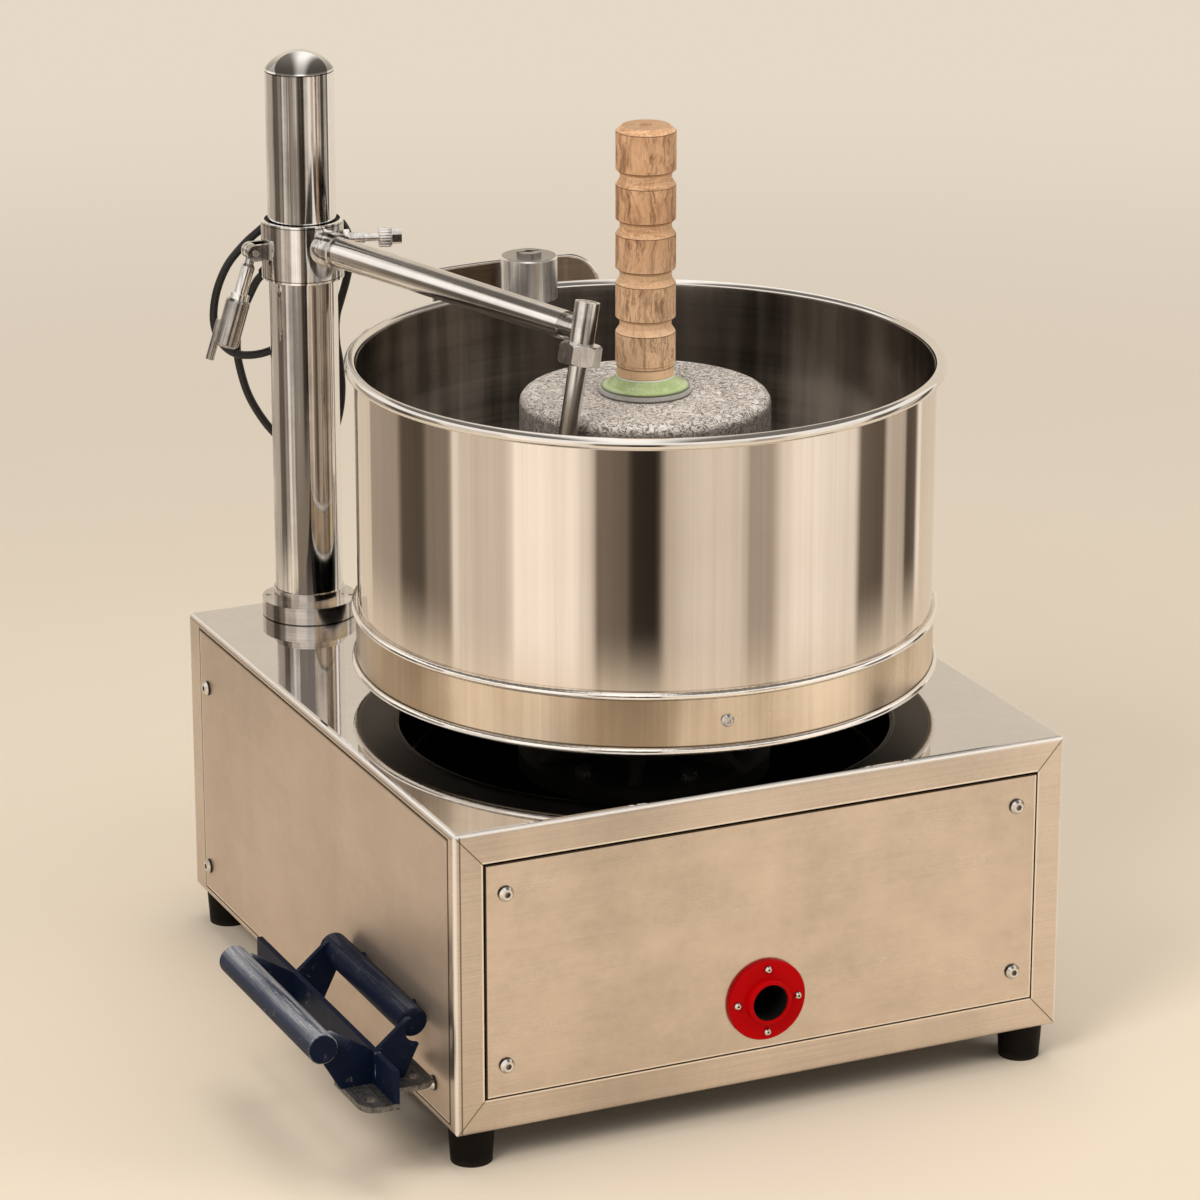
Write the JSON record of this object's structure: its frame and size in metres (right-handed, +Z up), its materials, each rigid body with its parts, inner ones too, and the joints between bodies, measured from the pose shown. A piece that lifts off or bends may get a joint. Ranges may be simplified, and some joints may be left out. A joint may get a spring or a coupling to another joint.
{
  "type": "wet grinder",
  "caption": "Table-top wet grinder: steel cabinet, turning drum with granite roller and wooden handle, column with a sliding, swinging scraper arm, side grip bracket.",
  "frame": {"origin": "on the floor under the middle of the overall outline, cord left out", "axes": "+Z up, -Y towards the front with the red port, +X to the right seen from the front"},
  "size_m": [0.5544, 0.5442, 0.668],
  "materials": {
    "cabinet_steel": "satin",
    "polished_steel": "polished",
    "drum_steel": "polished",
    "screw_steel": "satin",
    "rod_steel": "satin",
    "black_rubber": "matt",
    "black_plastic": "matt",
    "red_enamel": "gloss",
    "blue_paint": "worn gloss",
    "granite": "pecked",
    "ring_metal": "satin",
    "green_plastic": "gloss",
    "turned_wood": "oiled",
    "cast_iron": "as cast",
    "grey_paint": "satin"
  },
  "bodies": {
    "base": {"base_shell": "cabinet_steel", "front_panel": "cabinet_steel", "left_panel": "cabinet_steel", "chassis_plate": "screw_steel", "rubber_feet": "black_rubber", "foot_screws": "screw_steel", "panel_screws": "screw_steel", "left_screws": "screw_steel", "port_flange": "red_enamel", "port_bush": "black_plastic", "port_screws": "screw_steel", "column": "polished_steel", "column_cap": "polished_steel", "column_flange": "polished_steel", "column_backplate": "screw_steel", "flange_screws": "screw_steel", "rear_post": "polished_steel", "post_nut": "screw_steel", "guard_plate": "drum_steel", "handle_frame": "blue_paint", "handle_grips": "blue_paint", "handle_studs": "screw_steel", "bearing_housing": "cast_iron", "upper_bearing": "screw_steel", "lower_bearing": "screw_steel", "motor_bracket": "grey_paint", "motor_body": "grey_paint", "motor_cap": "black_plastic", "drive_belt": "black_rubber"},
    "drum": {"drum_shell": "drum_steel", "drum_rim": "drum_steel", "drum_band": "drum_steel", "band_screws": "screw_steel", "drum_bottom": "drum_steel", "base_stone": "granite", "drive_hub": "cast_iron", "hub_bolts": "screw_steel", "spindle": "screw_steel", "drum_pulley": "cast_iron", "pulley_nut": "screw_steel"},
    "roller": {"roller_stone": "granite", "stone_ring": "ring_metal", "green_washer": "green_plastic", "wood_handle": "turned_wood", "handle_rod": "screw_steel"},
    "motor_rotor": {"motor_shaft": "screw_steel", "motor_pulley": "cast_iron"},
    "lift_bush": {"sleeve_bush": "black_plastic"},
    "arm": {"arm_sleeve": "polished_steel", "arm_tube": "polished_steel", "arm_socket": "polished_steel", "lever_pin": "screw_steel", "cord_glands": "black_rubber", "cord": "black_rubber"},
    "lever": {"lock_lever": "polished_steel", "lever_grip": "polished_steel"},
    "clamp": {"clamp_screw": "polished_steel"},
    "nut": {"socket_nut": "polished_steel"},
    "scraper": {"scraper_rod": "rod_steel", "scraper_blade": "rod_steel"}
  },
  "joints": [
    {"name": "drum_spin", "type": "hinge", "parent": "base", "child": "drum", "pos_m": [0.05625, -0.03828, 0.243], "axis": [0, 0, 1], "continuous": true},
    {"name": "roller_spin", "type": "hinge", "parent": "drum", "child": "roller", "pos_m": [0.05625, -0.03828, 0.3493], "axis": [0, 0, 1], "continuous": true},
    {"name": "motor_spin", "type": "hinge", "parent": "base", "child": "motor_rotor", "pos_m": [0.17625, 0.15172, 0.118], "axis": [0, 0, 1], "continuous": true},
    {"name": "arm_lift", "type": "slide", "parent": "base", "child": "lift_bush", "axis": [0, 0, 1], "range_m": [0, 0.1]},
    {"name": "arm_swing", "type": "hinge", "parent": "lift_bush", "child": "arm", "pos_m": [-0.09975, 0.21572, 0.527], "axis": [0, 0, 1], "range_deg": [-10, 0.5]},
    {"name": "lever_turn", "type": "hinge", "parent": "arm", "child": "lever", "pos_m": [-0.13875, 0.21572, 0.523], "axis": [0, 1, 0], "range_deg": [-8, 95]},
    {"name": "clamp_turn", "type": "hinge", "parent": "arm", "child": "clamp", "pos_m": [-0.0522, 0.20027, 0.528], "axis": [0.9511, -0.309, 0], "range_deg": [-180, 180]},
    {"name": "nut_turn", "type": "hinge", "parent": "arm", "child": "nut", "pos_m": [-0.01625, -0.09368, 0.527], "axis": [0.1842, 0.0497, 0.9816], "range_deg": [-180, 180]},
    {"name": "rod_slide", "type": "slide", "parent": "arm", "child": "scraper", "axis": [0.1842, 0.0497, 0.9816], "range_m": [-0.03, 0.035]}
  ],
  "couplings": [
    {"joint": "motor_spin", "follows": "drum_spin", "ratio": 6.794}
  ]
}
